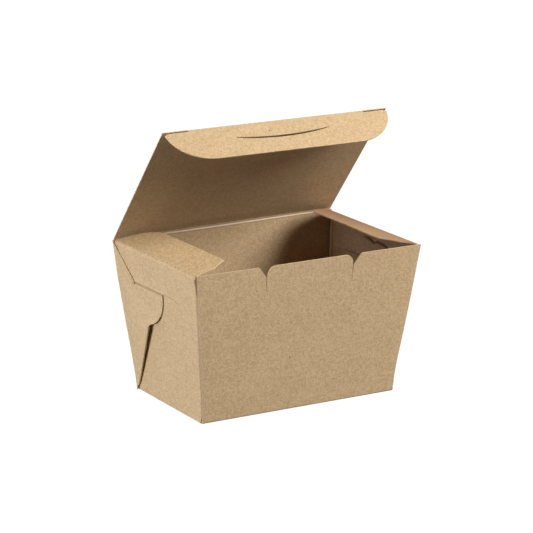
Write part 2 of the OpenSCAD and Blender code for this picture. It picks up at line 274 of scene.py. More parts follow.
def board(name, patches, bent=None, face=kraft_wall):
    """One piece of board from the grids of its middle layer, bent by a function of its points.

    Points that meet are joined, then half the thickness is laid to each side and the cut
    edges are closed. The fold value of a point is its turn between neighbouring faces.
    """
    points, corners, places, tints = [], [], [], []
    start = 0
    for grid, keep, tint in patches:
        rows, columns = grid.shape[:2]
        index = start + np.arange(rows * columns).reshape(rows, columns)
        quads = np.stack([index[:-1, :-1], index[:-1, 1:], index[1:, 1:], index[1:, :-1]], axis=-1)
        points.append(grid.reshape(-1, 3))
        corners.append(quads[keep])
        places.append(flat_lengths(grid).reshape(-1, 2))
        tints.append(tint.reshape(-1))
        start += rows * columns
    points, corners = np.concatenate(points), np.concatenate(corners)
    points = (bent(points) if bent else points) / 1000
    places = np.concatenate(places) / 1000
    mesh = bpy.data.meshes.new(name)
    mesh.from_pydata(points.tolist(), [], corners.tolist())
    blank = mesh.uv_layers.new(name="blank")
    blank.data.foreach_set("uv", places[corners.ravel()].ravel())
    shade = mesh.attributes.new("tint", "FLOAT", "POINT")
    shade.data.foreach_set("value", np.concatenate(tints).astype(np.float32))
    shape = bmesh.new()
    shape.from_mesh(mesh)
    bmesh.ops.remove_doubles(shape, verts=shape.verts, dist=2e-6)
    bmesh.ops.dissolve_degenerate(shape, edges=shape.edges, dist=1e-7)
    loose = [v for v in shape.verts if not v.link_faces]
    bmesh.ops.delete(shape, geom=loose, context="VERTS")
    bmesh.ops.recalc_face_normals(shape, faces=shape.faces)
    turned = shape.verts.layers.float.new("fold")
    for edge_line in shape.edges:
        if len(edge_line.link_faces) == 2:
            turn = min(1.0, edge_line.calc_face_angle(0) / 0.3)
            for vert in edge_line.verts:
                vert[turned] = max(vert[turned], turn)
    shape.to_mesh(mesh)
    shape.free()
    made = bpy.data.objects.new(name, mesh)
    bpy.context.scene.collection.objects.link(made)
    made.data.materials.append(face)
    made.data.materials.append(kraft_cut)
    wall = made.modifiers.new("Board thickness", "SOLIDIFY")
    wall.thickness = board_t / 1000
    wall.offset = 0
    wall.use_even_offset = True
    wall.material_offset_rim = 1
    bpy.context.view_layer.update()
    graph = bpy.context.evaluated_depsgraph_get()
    thick = bpy.data.meshes.new_from_object(made.evaluated_get(graph), depsgraph=graph)
    made.modifiers.clear()
    made.data = thick
    thick.name = name
    thick.shade_smooth()
    thick.set_sharp_from_angle(angle=math.radians(40))
    return made


def rounded(corners, radii, spans, arc=6):
    """Paths through rows of corners, each inner corner rounded by an arc of its radius.

    The arc touches both sides at radius / tan(half the angle between them), and its points
    turn evenly from one touching point to the other. Straight runs are split evenly.
    """
    corners = np.asarray(corners, float)
    rows = corners.shape[0]
    ends = [corners[:, 0]]
    arcs = []
    for i, radius in enumerate(radii, start=1):
        back = corners[:, i - 1] - corners[:, i]
        ahead = corners[:, i + 1] - corners[:, i]
        back /= np.linalg.norm(back, axis=1, keepdims=True)
        ahead /= np.linalg.norm(ahead, axis=1, keepdims=True)
        half = np.arccos(np.clip((back * ahead).sum(1), -1, 1))[:, None] / 2
        reach = radius / np.tan(half)
        middle = back + ahead
        centre = corners[:, i] + middle / np.linalg.norm(middle, axis=1, keepdims=True) \
            * radius / np.sin(half)
        first = corners[:, i] + back * reach - centre
        last = corners[:, i] + ahead * reach - centre
        turn = np.pi - 2 * half
        t = np.linspace(0, 1, arc + 1)[None, :, None]
        turn3 = turn[:, :, None]
        swept = (np.sin((1 - t) * turn3) * first[:, None] + np.sin(t * turn3) * last[:, None]) \
            / np.sin(turn3)
        arcs.append(centre[:, None] + swept)
    path = []
    here = corners[:, 0]
    for i, span in enumerate(spans):
        there = arcs[i][:, 0] if i < len(arcs) else corners[:, -1]
        t = (np.asarray(span, float) if np.ndim(span) else np.linspace(0, 1, span + 1))
        run = here[:, None] * (1 - t)[None, :, None] + there[:, None] * t[None, :, None]
        path.append(run if i == 0 else run[:, 1:])
        if i < len(arcs):
            path.append(arcs[i][:, 1:])
            here = arcs[i][:, -1]
    return np.concatenate(path, axis=1)


def eased(n, guard=0.03):
    """Even steps from 0 to 1 with a close step at each end, which keeps a fold's shading short."""
    return np.concatenate([[0, guard], np.linspace(guard, 1 - guard, n)[1:-1], [1 - guard, 1]])


def layer_x(z, r):
    """X of a layer along the right wall at height z, r outside the wall's outer face."""
    return base_l / 2 + z * tan_s + r / cos_s


def edge_y(z):
    """Distance of the front and back walls' outer faces from the middle, at height z."""
    return base_d / 2 + z * tan_f


# Layers along a side wall, by the middle of the board: the wall, two layers on its inside for a
# front web, and two on its outside for a rear web.
wall_r, inner_r, inmost_r = -board_t / 2, -board_t / 2 - layer_step, -board_t / 2 - 2 * layer_step
under_r, over_r = wall_r + layer_step, wall_r + 2 * layer_step

# Heights of the rows of points, which lie closer near the base fold, the webs' tips, the slit
# and the top.
slit_z = (height / cos_s - slit_depth) * cos_s
web_tip_z, web_tip_y = 40.45, 9.0
neck_below = 2.13
web_lift = 2.0
rows = np.concatenate([
    [fold_z, 1.3, 2.0, 3.2, 5.0],
    np.linspace(7.5, web_tip_z, 14),
    [41.5, 42.4, 43.5, 46.0, 49.0, 52.0, 54.5, 56.5, 58.0],
    slit_z + np.array([-neck_below, -1.4, -0.8, -0.35, 0, 0.35, 0.8, 1.4, 2.2]),
    [65.1, 67.3, 69.56, 72.0, 74.5, 76.5, 77.1],
])
web_top = len(rows)
front_rows = np.concatenate([rows, [77.7, 78.4, height]])
side_rows = np.concatenate([rows[rows < flap_start - 0.2], [flap_start]])
back_rows = np.concatenate([
    rows, [77.4, 77.65, 77.9, 78.1, 78.3, 78.5, 78.7, 78.9, back_top],
])

# Front wall with its tab. It runs out to the corners, folds back behind itself there and goes on
# as the inner half of a front web along the side wall.
tab_x, tab_r, tab_slit, notch_w, notch_d = 24.8, 4.6, 14.0, 4.8, 5.6
slit_w = 0.36
upright_x = 33
front_columns = np.concatenate([
    np.linspace(0, tab_x - tab_r, 8),
    tab_x - tab_r + tab_r * np.sin(np.radians([15, 30, 45, 58, 70, 80, 90])),
    [tab_x + slit_w, tab_x + 1.5, tab_x + 3.0, tab_x + notch_w - 0.6, tab_x + notch_w,
     tab_x + notch_w + 1.0],
    np.linspace(34, 54.0, 7),
])
corner_r = 0.45
toe_z = 3.2
z = front_rows[:, None]
end_x = layer_x(z, wall_r) - bend_r
share = (front_columns - upright_x) / (front_columns[-1] - upright_x)
wall_x = np.where(front_columns[None, :] < upright_x, front_columns[None, :],
                  upright_x + share[None, :] * (end_x - upright_x))
drop = np.interp(wall_x, [tab_x + slit_w, tab_x + notch_w], [notch_d, 0])
into_arc = np.clip(wall_x - (tab_x - tab_r), 0, tab_r)
rounding = tab_r - np.sqrt(np.clip(tab_r**2 - into_arc**2, 0, None))
drop = np.where(wall_x <= tab_x + 1e-6, rounding, drop) * cos_f
cut_z = height - tab_slit * cos_f
top_z = height - drop
wall_z = np.where(z <= cut_z, z, cut_z + (z - cut_z) * (top_z - cut_z) / (height - cut_z))
wall_y = -(edge_y(wall_z) + wall_r / cos_f)
front_keep = np.ones((len(front_rows) - 1, len(front_columns) - 1), bool)
slit_column = int(np.where(np.isclose(front_columns, tab_x))[0][0])
up_slit = np.clip((front_rows - cut_z) / tab_slit, 0, 1)
wall_x[:, slit_column + 1] = tab_x + 0.06 + slit_w * up_slit**0.6
front_keep[front_rows[:-1] >= cut_z - 0.05, slit_column] = False
front_wall = grid_patch(np.stack([wall_x, wall_y, wall_z], axis=-1), front_keep)


def web_edge(z):
    """How far from the middle the front webs reach: their fold, then their cut top edge."""
    return np.interp(z, [0, web_tip_z, 69.56, 76.5, 77.1],
                     [base_d / 2, web_tip_y, 40.9, 41.7, 42.6])


def ring(z_rows, outline, radii, spans, arc=6):
    """Rows of a horizontal cross-section path, one at each height."""
    path = rounded(outline, radii, spans, arc)
    heights = np.broadcast_to(z_rows[:, None, None], (*path.shape[:2], 1))
    return np.concatenate([path, heights], axis=2)


def corner_path(z_rows, *stops):
    """Corners of a cross-section, each stop a pair (x, y) that may vary with height."""
    pairs = [np.stack([np.broadcast_to(x, z_rows.shape), np.broadcast_to(y, z_rows.shape)], axis=-1)
             for x, y in stops]
    return np.stack(pairs, axis=1)


web_rows = rows[(rows > toe_z - 0.1) & (rows < 69.6)]
mid_f = -(edge_y(web_rows) + wall_r / cos_f)
inner_web = ring(web_rows, corner_path(
    web_rows,
    (layer_x(web_rows, wall_r) - bend_r, mid_f),
    (layer_x(web_rows, wall_r), mid_f),
    (layer_x(web_rows, wall_r), mid_f + layer_step),
    (layer_x(web_rows, inmost_r), mid_f + layer_step),
    (layer_x(web_rows, inmost_r), -web_edge(web_rows)),
), [bend_r - 0.001, bend_r - 0.001, corner_r], [[0, 1], [0, 1], [0, 1], eased(8)])[:, 1:]
top_f = front_rows[front_rows > 69.5]
stub_f = -(edge_y(top_f) + wall_r / cos_f)
inner_stub = ring(top_f, corner_path(
    top_f,
    (layer_x(top_f, wall_r) - bend_r, stub_f),
    (layer_x(top_f, wall_r), stub_f),
    (layer_x(top_f, wall_r), stub_f + layer_step * 0.8),
), [bend_r - 0.001], [[0, 1], [0, 1]])[:, 1:]
# Painted shade at the front corners: darker in the fold-back behind the front wall's end, and
# darker still along the web's stub at the top.
corner_shade = np.interp(np.arange(inner_web.shape[1]), [0, 2, 4, 12], [0, -0.05, -0.4, 0])
stub_shade = np.interp(np.arange(inner_stub.shape[1]), [0, 2, 5], [-0.1, -0.6, -0.9])
front_half = [front_wall, grid_patch(inner_web, tint=corner_shade[None, :]),
              grid_patch(inner_stub, tint=stub_shade[None, :])]

# The front web's fold and its outer half, which turns round the side wall's front edge behind the
# front wall. The side wall then runs back to its rear edge, where the rear web turns outwards.
folded = web_rows[web_rows <= web_tip_z + 1e-6]
web_fold = ring(folded, corner_path(
    folded,
    (layer_x(folded, inmost_r), -web_edge(folded)),
    (layer_x(folded, inmost_r), -web_edge(folded) + bend_r + 0.001),
    (layer_x(folded, inner_r), -web_edge(folded) + bend_r + 0.001),
    (layer_x(folded, inner_r), -web_edge(folded)),
), [bend_r, bend_r], [1, 1, 1])


def nose_line(z):
    """Y of the side wall's front edge, which stands behind the front wall's folded end."""
    return -edge_y(z) + 1.74


def rear_line(z):
    """Y of the side wall's rear edge, where the rear web turns round it."""
    return edge_y(z) - board_t - layer_gap - layer_step / 2 - board_t / 2


outer_web = ring(web_rows, corner_path(
    web_rows,
    (layer_x(web_rows, inner_r), -web_edge(web_rows)),
    (layer_x(web_rows, inner_r), nose_line(web_rows)),
), [], [eased(8)])
nose_y, rear_y = nose_line(side_rows), rear_line(side_rows)
nose = ring(side_rows, corner_path(
    side_rows,
    (layer_x(side_rows, inner_r), nose_y),
    (layer_x(side_rows, inner_r), nose_y - bend_r - 0.001),
    (layer_x(side_rows, wall_r), nose_y - bend_r - 0.001),
    (layer_x(side_rows, wall_r), nose_y),
), [bend_r, bend_r], [1, 1, 1])
# The side wall's front edge is painted dark near its top, painted shade in the gap behind the front
# wall.
nose_shade = -0.85 * np.clip((side_rows - 72) / 3, 0, 1)[:, None]
turned = rows[rows < 65.5]
rear_turn = ring(turned, corner_path(
    turned,
    (layer_x(turned, wall_r), rear_line(turned)),
    (layer_x(turned, wall_r), rear_line(turned) + bend_r + 0.001),
    (layer_x(turned, under_r), rear_line(turned) + bend_r + 0.001),
    (layer_x(turned, under_r), rear_line(turned)),
), [bend_r, bend_r], [1, 1, 1])

# The lock slit: a straight cut for the tab's neck, then a curve down. Its lips part as far as
# the tab pushes them, the upper one outwards and the lower one inwards.
slit_rear, slit_bend, slit_front, slit_curve_r = 24.0, -13.0, -21.1, 20
neck_front = -6.4
lip_out, lip_in = 0.54, 0.52
inside_y = np.concatenate([
    [-24.0, slit_front, -19.5, -18.0, -16.5, -15.0, slit_bend, -11.0, -9.0, neck_front - 0.8,
     neck_front, neck_front + 1.5],
    np.linspace(-2.5, 20.5, 10),
    [22.5, slit_rear, 26.0, 28.0],
])
z = side_rows[:, None]
ny, ry = nose_y[:, None], rear_y[:, None]
front_part = ny + (inside_y[0] - ny) * np.array([0, 0.06, 0.3, 0.65])[None, :]
rear_steps = np.array([0.4, 0.7, 0.76, 0.81, 0.85, 0.91, 0.95, 1.0])
rear_part = inside_y[-1] + (ry - inside_y[-1]) * rear_steps[None, :]
side_y = np.concatenate([
    front_part, np.broadcast_to(inside_y[None, :], (len(side_rows), len(inside_y))), rear_part,
], axis=1)
past_bend = np.clip(slit_bend - side_y, 0, 8.2)
curve_drop = slit_curve_r - np.sqrt(np.clip(slit_curve_r**2 - past_bend**2, 0, None))
curve_drop = np.where(side_y < slit_bend, curve_drop, 0)
near_slit = np.clip(1 - np.abs(z - slit_z) / 12, 0, 1)
side_z = z - curve_drop * near_slit**2 * (3 - 2 * near_slit)
opening = np.clip((side_y - slit_front) / 3, 0, 1) * np.clip((slit_rear - side_y) / 1.5, 0, 1)
neck = np.clip((side_y - neck_front + 4) / 4, 0, 1) \
    * np.clip((slit_rear + 0.4 - side_y) / 1.5, 0, 1)
slit_row = int(np.argmin(abs(side_rows - slit_z)))
reach = np.exp(-np.abs(z - slit_z) / 2.6)


def slit_split(rows_up, lift):
    """Side wall's rows on one side of the slit, with their lip lifted."""
    push = lift * reach * (0.1 * opening + 0.9 * neck)
    return np.stack([layer_x(side_z, wall_r + push * cos_s), side_y, side_z], axis=-1)[rows_up]


lower = slit_split(slice(0, slit_row + 1), -lip_in)
upper = slit_split(slice(slit_row, None), lip_out)
gap = 0.12 * opening[slit_row] + 0.1 * neck[slit_row]
upper[0, :, 2] += gap
lower[-1, :, 2] -= gap
# Painted light and shade along the side wall's rear edge, from mid-height up: dark at the edge, a
# pale painted highlight, then dark again.
from_rear = rear_y[:, None] - side_y
rear_edge_light_and_shade = np.interp(from_rear, [0, 0.5, 0.9, 1.7, 2.2, 2.9, 3.6],
                      [-0.6, -0.6, 0.45, 0.45, -0.5, -0.5, 0]) * np.clip((side_z - 46) / 14, 0, 1)
# The slit's upper lip is painted dark, painted shade in the opening slit.
slit_lip_shade = -0.4 * neck[slit_row] - 0.25 * (opening[slit_row] - neck[slit_row]).clip(0)
lower_tint, upper_tint = rear_edge_light_and_shade[:slit_row + 1].copy(), rear_edge_light_and_shade[slit_row:].copy()
upper_tint[0] += slit_lip_shade
side_wall = [grid_patch(lower, tint=lower_tint), grid_patch(upper, tint=upper_tint)]

# Rear web, laid on the outside: its inner half, its fold, and its outer half, whose round tab
# goes through the slit. It springs a little off the wall along its fold.
over_rows = rows[1:]
near_r = wall_r + board_t + 0.15


def web_spring(z, y):
    """Lift of the rear web off the wall, in mm: most at its lip, none at the rear edge or base."""
    fold_y = np.where(z < web_tip_z, web_edge(z), web_tip_y)
    rise = np.where(z < web_tip_z, z / web_tip_z, np.exp(-np.clip(z - web_tip_z, 0, None) / 4.5))
    wide = np.maximum(edge_y(z) - 2 - fold_y, 1.0)
    return web_lift * (rise * np.clip((edge_y(z) - 2 - y) / wide, 0, 1.15)**1.5)


def under_line(z):
    """Y of the inner half's free edge: its fold, then its cut edge up to the rear corner."""
    cut = np.interp(z, [0, web_tip_z, 41.5, 48, 58, 65.1, 70], [33.5, 9, 14.5, 22, 34, 40, 44])
    return np.minimum(cut, rear_line(z) - 0.05)


def corner_line(z):
    """R of the rear corner: two layers out, and nearer the wall above the inner half."""
    return np.interp(z, [60, 75], [over_r, near_r + 0.05])


def over_rest(z, y):
    """R of the outer half: a layer up over the inner half, and close to the wall beyond it."""
    away = np.clip((under_line(z) - y) / 7, 0, 1) * np.clip((z - web_tip_z) / 9, 0, 1)
    return corner_line(z) + (near_r - corner_line(z)) * away**2 * (3 - 2 * away)


under_rows = rows[(rows > 1) & (rows < 65.5)]
under_web = ring(under_rows, corner_path(
    under_rows, (layer_x(under_rows, under_r), under_line(under_rows)),
    (layer_x(under_rows, under_r), rear_line(under_rows))), [], [eased(8)])
under_web[..., 0] += web_spring(under_web[..., 2], under_web[..., 1])

tab_centre_y, tab_round = 13.0, 19.4
arc_edge = tab_centre_y - np.sqrt(np.clip(tab_round**2 - (over_rows - (slit_z - 0.7))**2, 0, None))
cut_edge = np.interp(over_rows, [slit_z, 78.7], [slit_rear, 43.4])
throat = np.interp(over_rows, [web_tip_z, 42.4, 43.5], [web_tip_y, 7.0, 4.8])
left = np.where(over_rows <= web_tip_z + 1e-6, web_edge(over_rows),
                np.where(over_rows < 43.4, throat, arc_edge))
over_end = edge_y(over_rows) + wall_r / cos_f - corner_r
middle = np.interp(over_rows, [0, web_tip_z, 56.0, slit_z - neck_below, slit_z], [0, 0, 0, 1, 1])
split_y = (1 - middle) * (left + 0.55 * (over_end - left)) + middle * slit_rear
split_y = np.where(over_rows > slit_z, cut_edge, split_y)
tab_share = np.concatenate([[0, 0.03], np.linspace(0.1, 0.9, 9), [0.97, 1]])
rear_share = np.concatenate([[0, 0.06], np.linspace(0.2, 0.85, 5), [0.95, 1]])
over_y = np.concatenate([
    left[:, None] + (split_y - left)[:, None] * tab_share[None, :],
    (split_y[:, None] + (over_end - split_y)[:, None] * rear_share[None, :])[:, 1:],
], axis=1)
over_z = np.broadcast_to(over_rows[:, None], over_y.shape)
over_web = np.stack([
    layer_x(over_z, over_rest(over_z, over_y)) + web_spring(over_z, over_y),
    over_y, over_z], axis=-1)
tab_columns = len(tab_share)
neck_row = int(np.argmin(abs(over_rows - (slit_z - neck_below))))
over_keep = np.ones((len(over_rows) - 1, over_y.shape[1] - 1), bool)
over_keep[neck_row:, :tab_columns - 1] = False

under_at = layer_x(folded, under_r) + web_spring(folded, web_edge(folded))
over_at = layer_x(folded, over_r) + web_spring(folded, web_edge(folded))
spread = (over_at - under_at) / 2
t = np.linspace(0, math.pi, 11)[None, :]
rear_fold = np.stack([
    ((over_at + under_at) / 2)[:, None] - spread[:, None] * np.cos(t),
    web_edge(folded)[:, None] - spread[:, None] * np.sin(t) * 0.8,
    np.broadcast_to(folded[:, None], (len(folded), t.size)),
], axis=-1)

# The tab's neck goes through the slit in an S and its barbed tip stands up inside. The tip's top
# edge has a wide round lobe over the slit and a small one over the barb in front of it.
neck_rise = 3.5
barb_y = -20.5
neck_y = over_web[neck_row, :tab_columns, 1]
w = np.linspace(0, 1, 13)[:, None]
neck_r = (near_r + inner_r) / 2 + (near_r - inner_r) / 2 * np.cos(np.pi * w)
neck_z = slit_z - neck_below + neck_rise * w
narrower = np.interp(neck_y, [neck_y[0], neck_y[-1]], [0.5, -0.5])
neck_path_y = neck_y[None, :] + np.clip(w * 3, 0, 1) * narrower[None, :]
neck = np.stack([
    layer_x(np.broadcast_to(neck_z, neck_path_y.shape), neck_r),
    neck_path_y,
    np.broadcast_to(neck_z, neck_path_y.shape),
], axis=-1)
neck[0] = over_web[neck_row, :tab_columns]
# The neck is painted darker from just past the slit on, painted shade.
neck_shade = np.interp(w, [0, 0.15, 0.4, 1], [0, 0, -0.4, -0.3])
tip_y = np.concatenate([barb_y + 14.4 * np.array([0, 0.05, 0.12, 0.24, 0.4, 0.55, 0.7, 0.85]),
                        neck[-1, :, 1]])
tip_low = np.interp(tip_y, [barb_y, -18.5, -8.0, neck[-1, 0, 1]],
                    [63.6, 62.9, neck_z[-1, 0] - 0.2, neck_z[-1, 0]])
tip_low = np.where(tip_y >= neck[-1, 0, 1] - 1e-9, neck_z[-1, 0], tip_low)
wide_lobe = 72.7 - 0.0213 * (tip_y - 6)**2
small_lobe = np.where(tip_y < -4.3, 72.4 - 0.02 * (tip_y + 6.5)**2, 0)
tip_high = np.maximum(wide_lobe, small_lobe)
tip_high = np.minimum(tip_high, np.interp(tip_y, [barb_y, -19.7, -17.8, -14, 15, 20, 23.6],
                                          [64.4, 67.4, 69.9, 80, 80, 69.5, 64.6]))
v = np.array([0, 0.05, 0.2, 0.4, 0.6, 0.8, 0.95, 1])[:, None]
tip_z = tip_low[None, :] + (tip_high - tip_low)[None, :] * v
tip_yy = np.broadcast_to(tip_y[None, :], tip_z.shape)
tip = np.stack([layer_x(tip_z, inner_r), tip_yy, tip_z], axis=-1)
# Painted shade along the tip's top edge, where it stands off the wall, fading out towards its rear.
tip_edge_shade = np.interp(v, [0.86, 0.94, 1], [0, -0.95, -0.95]) \
    * np.interp(tip_y, [4, 9.5], [1, 0])[None, :]

# Back wall, which runs out past the side walls and turns forward into the rear webs. It has a
# painted highlight in a line just under the lid's crease, and a line of painted shade below it.
back_y = edge_y(back_rows) + wall_r / cos_f
back_end = layer_x(back_rows, corner_line(back_rows)) - corner_r
back_columns = np.concatenate([np.linspace(0, 0.92, 12), [0.985, 1]])
back_x = back_end[:, None] * back_columns[None, :]
back_wall = np.stack([
    back_x, np.broadcast_to(back_y[:, None], back_x.shape),
    np.broadcast_to(back_rows[:, None], back_x.shape)], axis=-1)
# The painted highlight's line under the crease, and a line of painted shade below it.
highlight_z = 78.35 + 0.35 * np.clip((back_x - 20) / 30, 0, 1)
crease_highlight_and_shade = np.interp(back_rows[:, None] - highlight_z, [-1, -0.55, -0.35, 0, 0.35, 0.6],
                      [-0.08, -0.55, 0.2, 1, 1, 0])


def rear_corner_bend(z):
    """The bend from the back wall to the rear web, at heights z."""
    r, y = corner_line(z), edge_y(z) + wall_r / cos_f
    return ring(z, corner_path(z, (layer_x(z, r) - corner_r - 0.001, y), (layer_x(z, r), y),
                               (layer_x(z, r), y - corner_r - 0.001)), [corner_r], [1, 1])


back_corner = rear_corner_bend(np.concatenate([[0.3, fold_z], rows[1:]]))
z_top = back_rows[web_top - 1:]
top_corner = rear_corner_bend(z_top)
top_end = edge_y(z_top) + wall_r / cos_f - corner_r
cut_top = np.minimum(np.interp(z_top, [slit_z, 78.7], [slit_rear, 43.4]), top_end - 0.02)
top_strip = ring(z_top, corner_path(
    z_top,
    (layer_x(z_top, over_rest(z_top, cut_top)), cut_top),
    (layer_x(z_top, corner_line(z_top)), top_end),
), [], [3])

# Base, with its four folds up into the walls, whose ends draw in where they meet at the corners.
base_z = board_t / 2
side_line = layer_x(base_z, wall_r)
front_line = edge_y(base_z) + wall_r / cos_f
side_reach = (fold_z - base_z) / cos_s
front_reach = (fold_z - base_z) / cos_f
side_bend = side_reach * math.tan((math.pi / 2 + side_lean) / 2)
front_bend = front_reach * math.tan((math.pi / 2 + front_lean) / 2)
arc_n = 7
front_profile = rounded([[
    (-(edge_y(fold_z) + wall_r / cos_f), fold_z),
    (-front_line, base_z), (-front_line + front_reach, base_z),
]], [front_bend - 1e-4], [1, 1], arc_n)[0]


def foot(profile, outer, inner):
    """A fold's cross-section carried along its line, whose ends draw in from outer to inner.

    Returns the place along the line, the place across it and the height of each point.
    """
    down = np.linspace(0, 1, len(profile))[:, None]
    along = outer[None, :] * (1 - down) + inner[None, :] * down
    return along, np.broadcast_to(profile[:, :1], along.shape), \
        np.broadcast_to(profile[:, 1:], along.shape)


inner_x = side_line - side_reach
foot_in = np.minimum(wall_x[0], inner_x)
front_foot = np.stack(foot(front_profile, wall_x[0], foot_in), axis=-1)
side_profile = rounded([[
    (layer_x(fold_z, wall_r), fold_z), (side_line, base_z), (side_line - side_reach, base_z),
]], [side_bend - 1e-4], [1, 1], arc_n)[0]
inner_y = -front_line + front_reach
side_in = np.concatenate([[inner_y], side_y[0, 1:-1], [-inner_y]])
along, across, up = foot(side_profile, side_y[0], side_in)
side_foot = np.stack([across, along, up], axis=-1)
heel_x = back_wall[0, :, 0]
back_foot = np.stack(foot(front_profile * [-1, 1], heel_x, heel_x * inner_x / heel_x[-1]), axis=-1)
base_grid = np.stack([*np.meshgrid(foot_in, side_in),
                      np.full((len(side_in), len(foot_in)), base_z)], axis=-1)

# In this list the rear web's turn round the side wall is painted dark all over, painted shade in
# the fold.
half = [
    *front_half, grid_patch(web_fold), grid_patch(outer_web), grid_patch(nose, tint=nose_shade),
    *side_wall, grid_patch(rear_turn, tint=-0.6), grid_patch(under_web), grid_patch(rear_fold),
    grid_patch(over_web, over_keep), grid_patch(neck, tint=neck_shade),
    grid_patch(tip, tint=tip_edge_shade), grid_patch(back_wall, tint=crease_highlight_and_shade),
    grid_patch(back_corner), grid_patch(top_strip), grid_patch(top_corner),
    grid_patch(front_foot), grid_patch(side_foot), grid_patch(back_foot), grid_patch(base_grid),
]
lean_low = 0.7
draw_in, draw_z, draw_left = 1.45, 16, 0.35
wall_slack = 0.3


def settled(points):
    """The box's slight lean: its left rear corner is up to lean_low lower, lid and flaps with it.

    The drop is the product of three shares that grow towards the left, the rear and the top.
    """
    x, y, z = points.T
    low = np.clip((30 - x) / 95, 0, 1) * np.clip((y + 20) / 64, 0, 1) * np.clip((z - 20) / 58, 0, 1)
    return np.stack([x, y, z - lean_low * low], axis=1)


def bowed(points):
    """The carton's corners drawn in low down, more on the right, and its wide walls a bit slack.

    The draw is s e^(1 - s) (1 - z / 76) with s = z / draw_z, nothing at the base and the top. The
    slack is a squared sine of the height, most in the middle of the wall.
    """
    x, y, z = points.T
    draw = draw_in * z / draw_z * np.exp(1 - z / draw_z) * np.clip(1 - z / 76, 0, None)
    draw = draw * np.clip(np.abs(x) / 52, 0, 1)**3 * np.where(x > 0, 1.0, draw_left)
    slack = wall_slack * np.sin(np.pi * np.clip(z / 77, 0, 1))**2 * np.clip(1 - (x / 60)**2, 0, 1)
    slack = slack * np.clip((np.abs(y) - 25) / 8, 0, 1)
    return settled(np.stack([x - np.sign(x) * draw, y - np.sign(y) * slack, z], axis=1))


carton = board("carton_sheet", half + [mirrored(p) for p in half], bowed)
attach(carton, "carton")
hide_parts("carton")

# Lid: one panel of the sheet, on a crease at the back wall's top. The crease stands up inside as
# a low bead, and the lid's front corners run on past the tuck flap's fold as small ears.
lid_d, lid_open = 83.6, math.radians(50)
hinge_y, hinge_z = edge_y(lid_fold_z) + wall_r / cos_f, lid_fold_z
lid_along = np.array([-math.cos(lid_open), math.sin(lid_open)])
lid_out = np.array([-math.sin(lid_open), -math.cos(lid_open)])
wall_up = np.array([math.sin(front_lean), math.cos(front_lean)])
lid_half = top_l / 2 - 0.3
tuck_half, tuck_cut = top_l / 2 - 0.9, 13.4
crease = 0.45
lid_short, lid_twist = 0.6, 0.05


def lid_point(d, out=0.0):
    """Y and Z of a point on the lid, d from its fold and out of its inner face."""
    return np.array([hinge_y, hinge_z]) + np.multiply.outer(d, lid_along) \
        + np.multiply.outer(out, lid_out)


def along_x(columns, profile):
    """A profile of (y, z) points carried along X: a row for each point, a column for each x."""
    shape = (len(profile), len(columns))
    return np.stack([np.broadcast_to(columns[None, :], shape),
                     np.broadcast_to(profile[:, :1], shape),
                     np.broadcast_to(profile[:, 1:], shape)], axis=-1)


turn = math.acos(float(np.clip(wall_up @ lid_along, -1, 1)))
fold_path = rounded([[
    np.array([hinge_y, hinge_z]) - wall_up * (crease + 1e-4),
    np.array([hinge_y, hinge_z]),
    np.array([hinge_y, hinge_z]) + lid_along * (crease + 1e-4),
]], [crease / math.tan(turn / 2)], [1, 1], 8)[0]
bead = 0.3 * np.sin(np.linspace(0, math.pi, len(fold_path)))**2
inward = (lid_out - wall_up * 0.2)
fold_path = fold_path + bead[:, None] * inward / np.linalg.norm(inward)
lid_steps = np.concatenate([
    [0.9, 1.6], np.linspace(4, lid_d - 4, 18), [lid_d - 1.6, lid_d - 0.9, lid_d - crease],
])
lid_path = np.concatenate([fold_path, lid_point(lid_steps)])
lid_columns = np.concatenate([np.linspace(0, tuck_half - tuck_cut, 14),
                              [tuck_half - tuck_cut + 2.0, 58.0, 61.5, lid_half]])
lid_grid = along_x(lid_columns, lid_path)
lid_ear = along_x(lid_columns[13:], lid_point(np.array([lid_d - crease, lid_d + 0.15])))
# Painted shade along the lid's crease, a little pale at its start, and painted shade over the
# middle of the lid, away from its side edges and its crease.
lid_crease_light_and_shade = np.zeros(len(lid_path))
lid_crease_light_and_shade[:len(fold_path)] = np.interp(np.linspace(0, 1, len(fold_path)),
                                      [0, 0.3, 0.6, 1], [0.1, -0.25, -0.25, 0])
away = np.clip(np.concatenate([np.zeros(len(fold_path)), lid_steps / 5]), 0, 1)
lid_middle_shade = -0.26 * np.clip((lid_half - 4 - lid_columns) / 25, 0, 1)[None, :] * away[:, None]
half = [grid_patch(lid_grid, tint=lid_crease_light_and_shade[:, None] + lid_middle_shade), grid_patch(lid_ear)]


def warped(points):
    """The lid's own shape: up to lid_short shorter on the right and turned in a little there.

    Both grow from nothing at the crease to the front fold, the first evenly and the second by
    the square, and the tuck flap follows them.
    """
    place = points[:, 1:] - [hinge_y, hinge_z]
    reach = np.clip(place @ lid_along / lid_d, 0, 1)
    right = (1 + points[:, 0] / 65) / 2
    short = lid_short * right * reach
    twist = lid_twist * right**2 * reach**2
    moved = points.copy()
    moved[:, 1:] += -short[:, None] * lid_along + twist[:, None] * lid_out
    return settled(moved)


lid = board("lid_panel", half + [mirrored(p) for p in half], warped)
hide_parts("lid")
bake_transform(lid)

